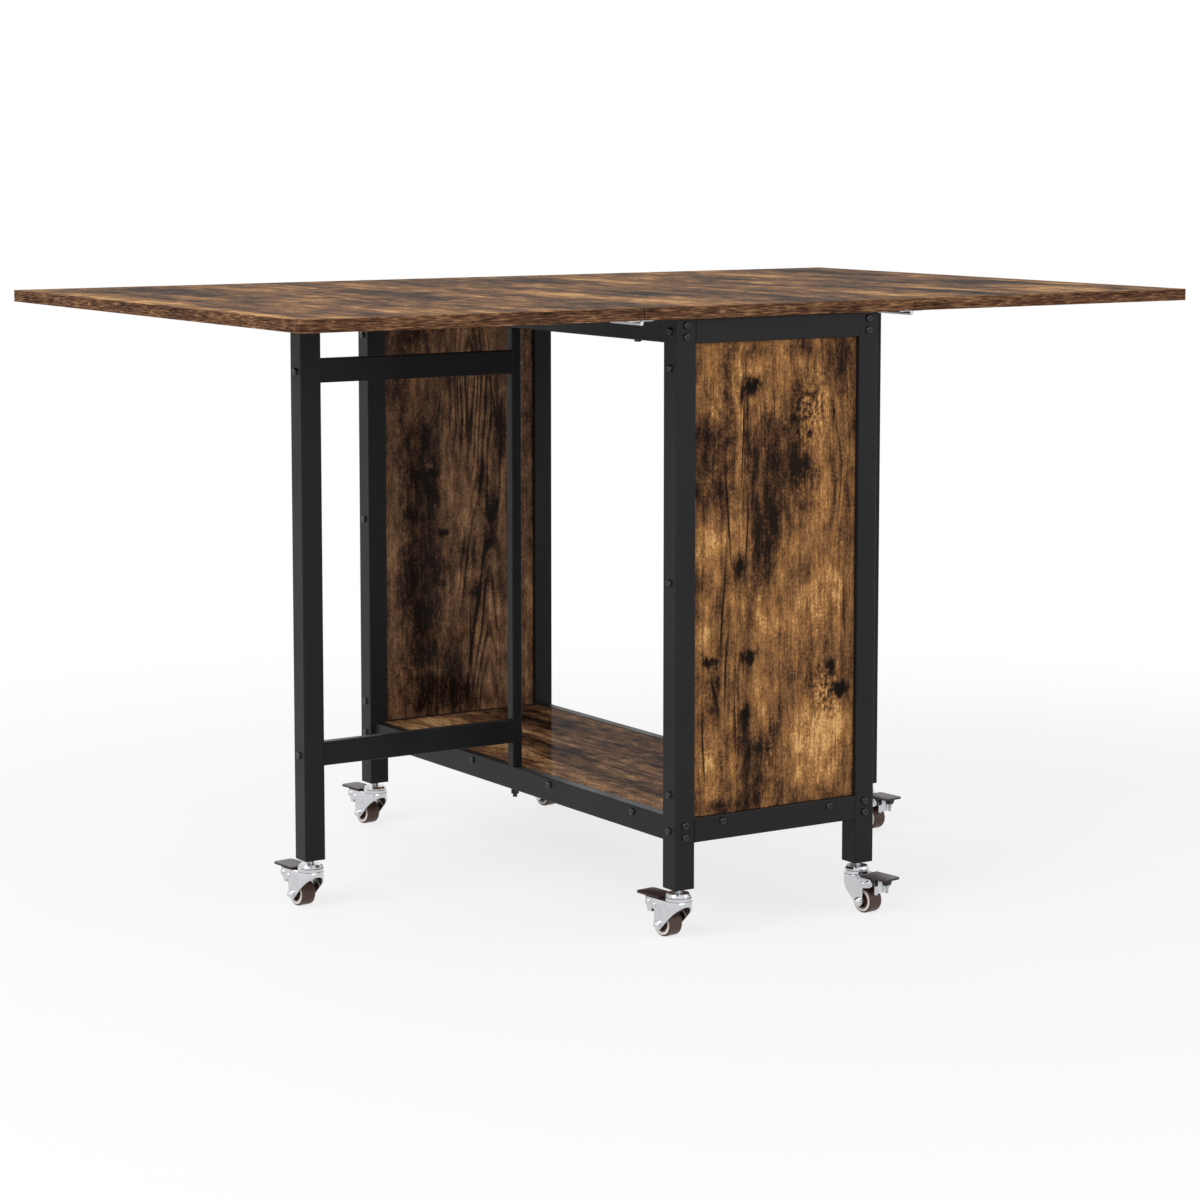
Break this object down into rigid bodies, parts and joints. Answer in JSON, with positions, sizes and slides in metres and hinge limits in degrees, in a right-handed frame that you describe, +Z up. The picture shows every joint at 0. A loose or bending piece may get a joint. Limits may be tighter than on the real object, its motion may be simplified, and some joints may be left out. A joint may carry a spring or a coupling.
{
  "type": "folding dining table",
  "caption": "Drop-leaf dining table on braked casters: wood-look boards on a narrow black steel base with a shelf, end panels and swing-out gate legs under the leaves.",
  "frame": {"origin": "on the floor, under the middle of the open table", "axes": "+X along the open top from leaf to leaf, +Y along the hinge seams away from the viewer, +Z up"},
  "size_m": [1.3, 0.8824, 0.763],
  "materials": {
    "smoked_oak_board": "smoked oak decor, satin",
    "black_steel_tube": "matt powder coat",
    "black_bolts": "black oxide",
    "zinc_hinge": "zinc plated",
    "bright_caster_steel": "bright zinc plate",
    "brown_tread": "smooth brown polyurethane",
    "brown_pedal": "moulded, satin"
  },
  "bodies": {
    "base": {"centre_top": "smoked_oak_board", "end_panel_near": "smoked_oak_board", "end_panel_far": "smoked_oak_board", "shelf": "smoked_oak_board", "leg_near_left": "black_steel_tube", "leg_near_right": "black_steel_tube", "leg_far_left": "black_steel_tube", "leg_far_right": "black_steel_tube", "bottom_side_rail_left": "black_steel_tube", "bottom_side_rail_right": "black_steel_tube", "top_side_rail_left": "black_steel_tube", "top_side_rail_right": "black_steel_tube", "bottom_end_rail_near": "black_steel_tube", "bottom_end_rail_far": "black_steel_tube", "top_end_rail_near": "black_steel_tube", "top_end_rail_far": "black_steel_tube", "frame_bolts": "black_bolts", "top_screws": "black_bolts", "gate_pivot_bolts": "black_bolts", "hinge_fixed_plates": "zinc_hinge", "hinge_pins": "zinc_hinge", "base_caster_stems": "bright_caster_steel"},
    "gate_left": {"gate_left_leg": "black_steel_tube", "gate_left_bars": "black_steel_tube", "gate_left_post": "black_steel_tube", "gate_left_bolts": "black_bolts", "gate_left_caster_stem": "bright_caster_steel"},
    "leaf_left": {"leaf_left": "smoked_oak_board", "hinge_left_leaf_plates": "zinc_hinge"},
    "gate_right": {"gate_right_leg": "black_steel_tube", "gate_right_bars": "black_steel_tube", "gate_right_post": "black_steel_tube", "gate_right_bolts": "black_bolts", "gate_right_caster_stem": "bright_caster_steel"},
    "leaf_right": {"leaf_right": "smoked_oak_board", "hinge_right_leaf_plates": "zinc_hinge"},
    "caster_near_left_swivel_fork": {"caster_near_left_fork": "bright_caster_steel"},
    "caster_near_left_wheel": {"caster_near_left_hub": "bright_caster_steel", "caster_near_left_tread": "brown_tread"},
    "caster_near_left_brake_pedal": {"caster_near_left_pedal": "brown_pedal"},
    "caster_far_left_swivel_fork": {"caster_far_left_fork": "bright_caster_steel"},
    "caster_far_left_wheel": {"caster_far_left_hub": "bright_caster_steel", "caster_far_left_tread": "brown_tread"},
    "caster_far_left_brake_pedal": {"caster_far_left_pedal": "brown_pedal"},
    "caster_gate_left_swivel_fork": {"caster_gate_left_fork": "bright_caster_steel"},
    "caster_gate_left_wheel": {"caster_gate_left_hub": "bright_caster_steel", "caster_gate_left_tread": "brown_tread"},
    "caster_gate_left_brake_pedal": {"caster_gate_left_pedal": "brown_pedal"},
    "caster_near_right_swivel_fork": {"caster_near_right_fork": "bright_caster_steel"},
    "caster_near_right_wheel": {"caster_near_right_hub": "bright_caster_steel", "caster_near_right_tread": "brown_tread"},
    "caster_near_right_brake_pedal": {"caster_near_right_pedal": "brown_pedal"},
    "caster_far_right_swivel_fork": {"caster_far_right_fork": "bright_caster_steel"},
    "caster_far_right_wheel": {"caster_far_right_hub": "bright_caster_steel", "caster_far_right_tread": "brown_tread"},
    "caster_far_right_brake_pedal": {"caster_far_right_pedal": "brown_pedal"},
    "caster_gate_right_swivel_fork": {"caster_gate_right_fork": "bright_caster_steel"},
    "caster_gate_right_wheel": {"caster_gate_right_hub": "bright_caster_steel", "caster_gate_right_tread": "brown_tread"},
    "caster_gate_right_brake_pedal": {"caster_gate_right_pedal": "brown_pedal"}
  },
  "joints": [
    {"name": "gate_left_swing", "type": "hinge", "parent": "base", "child": "gate_left", "pos_m": [-0.135, 0, 0.433], "axis": [0, 0, -1], "range_deg": [0, 84]},
    {"name": "leaf_left_hinge", "type": "hinge", "parent": "base", "child": "leaf_left", "pos_m": [-0.2, 0, 0.7443], "axis": [0, 1, 0], "range_deg": [0, 2.5]},
    {"name": "gate_right_swing", "type": "hinge", "parent": "base", "child": "gate_right", "pos_m": [0.135, 0, 0.433], "axis": [0, 0, -1], "range_deg": [0, 84]},
    {"name": "leaf_right_hinge", "type": "hinge", "parent": "base", "child": "leaf_right", "pos_m": [0.2, 0, 0.7443], "axis": [0, -1, 0], "range_deg": [0, 2.5]},
    {"name": "caster_near_left_swivel", "type": "hinge", "parent": "base", "child": "caster_near_left_swivel_fork", "pos_m": [-0.135, -0.3775, 0.0468], "axis": [0, 0, 1], "continuous": true},
    {"name": "caster_near_left_roll", "type": "hinge", "parent": "caster_near_left_swivel_fork", "child": "caster_near_left_wheel", "pos_m": [-0.13732, -0.35864, 0.016], "axis": [-0.9925, -0.1219, 0], "continuous": true},
    {"name": "caster_near_left_brake", "type": "hinge", "parent": "caster_near_left_swivel_fork", "child": "caster_near_left_brake_pedal", "pos_m": [-0.13817, -0.35169, 0.039], "axis": [-0.9925, -0.1219, 0], "range_deg": [0, 18]},
    {"name": "caster_far_left_swivel", "type": "hinge", "parent": "base", "child": "caster_far_left_swivel_fork", "pos_m": [-0.135, 0.3775, 0.0468], "axis": [0, 0, 1], "continuous": true},
    {"name": "caster_far_left_roll", "type": "hinge", "parent": "caster_far_left_swivel_fork", "child": "caster_far_left_wheel", "pos_m": [-0.13732, 0.39636, 0.016], "axis": [-0.9925, -0.1219, 0], "continuous": true},
    {"name": "caster_far_left_brake", "type": "hinge", "parent": "caster_far_left_swivel_fork", "child": "caster_far_left_brake_pedal", "pos_m": [-0.13817, 0.40331, 0.039], "axis": [-0.9925, -0.1219, 0], "range_deg": [0, 18]},
    {"name": "caster_gate_left_swivel", "type": "hinge", "parent": "gate_left", "child": "caster_gate_left_swivel_fork", "pos_m": [-0.435, 0, 0.0468], "axis": [0, 0, 1], "continuous": true},
    {"name": "caster_gate_left_roll", "type": "hinge", "parent": "caster_gate_left_swivel_fork", "child": "caster_gate_left_wheel", "pos_m": [-0.43732, 0.01886, 0.016], "axis": [-0.9925, -0.1219, 0], "continuous": true},
    {"name": "caster_gate_left_brake", "type": "hinge", "parent": "caster_gate_left_swivel_fork", "child": "caster_gate_left_brake_pedal", "pos_m": [-0.43817, 0.02581, 0.039], "axis": [-0.9925, -0.1219, 0], "range_deg": [0, 18]},
    {"name": "caster_near_right_swivel", "type": "hinge", "parent": "base", "child": "caster_near_right_swivel_fork", "pos_m": [0.135, -0.3775, 0.0468], "axis": [0, 0, 1], "continuous": true},
    {"name": "caster_near_right_roll", "type": "hinge", "parent": "caster_near_right_swivel_fork", "child": "caster_near_right_wheel", "pos_m": [0.13732, -0.39636, 0.016], "axis": [0.9925, 0.1219, 0], "continuous": true},
    {"name": "caster_near_right_brake", "type": "hinge", "parent": "caster_near_right_swivel_fork", "child": "caster_near_right_brake_pedal", "pos_m": [0.13817, -0.40331, 0.039], "axis": [0.9925, 0.1219, 0], "range_deg": [0, 18]},
    {"name": "caster_far_right_swivel", "type": "hinge", "parent": "base", "child": "caster_far_right_swivel_fork", "pos_m": [0.135, 0.3775, 0.0468], "axis": [0, 0, 1], "continuous": true},
    {"name": "caster_far_right_roll", "type": "hinge", "parent": "caster_far_right_swivel_fork", "child": "caster_far_right_wheel", "pos_m": [0.13732, 0.35864, 0.016], "axis": [0.9925, 0.1219, 0], "continuous": true},
    {"name": "caster_far_right_brake", "type": "hinge", "parent": "caster_far_right_swivel_fork", "child": "caster_far_right_brake_pedal", "pos_m": [0.13817, 0.35169, 0.039], "axis": [0.9925, 0.1219, 0], "range_deg": [0, 18]},
    {"name": "caster_gate_right_swivel", "type": "hinge", "parent": "gate_right", "child": "caster_gate_right_swivel_fork", "pos_m": [0.435, 0, 0.0468], "axis": [0, 0, 1], "continuous": true},
    {"name": "caster_gate_right_roll", "type": "hinge", "parent": "caster_gate_right_swivel_fork", "child": "caster_gate_right_wheel", "pos_m": [0.43732, -0.01886, 0.016], "axis": [0.9925, 0.1219, 0], "continuous": true},
    {"name": "caster_gate_right_brake", "type": "hinge", "parent": "caster_gate_right_swivel_fork", "child": "caster_gate_right_brake_pedal", "pos_m": [0.43817, -0.02581, 0.039], "axis": [0.9925, 0.1219, 0], "range_deg": [0, 18]}
  ]
}
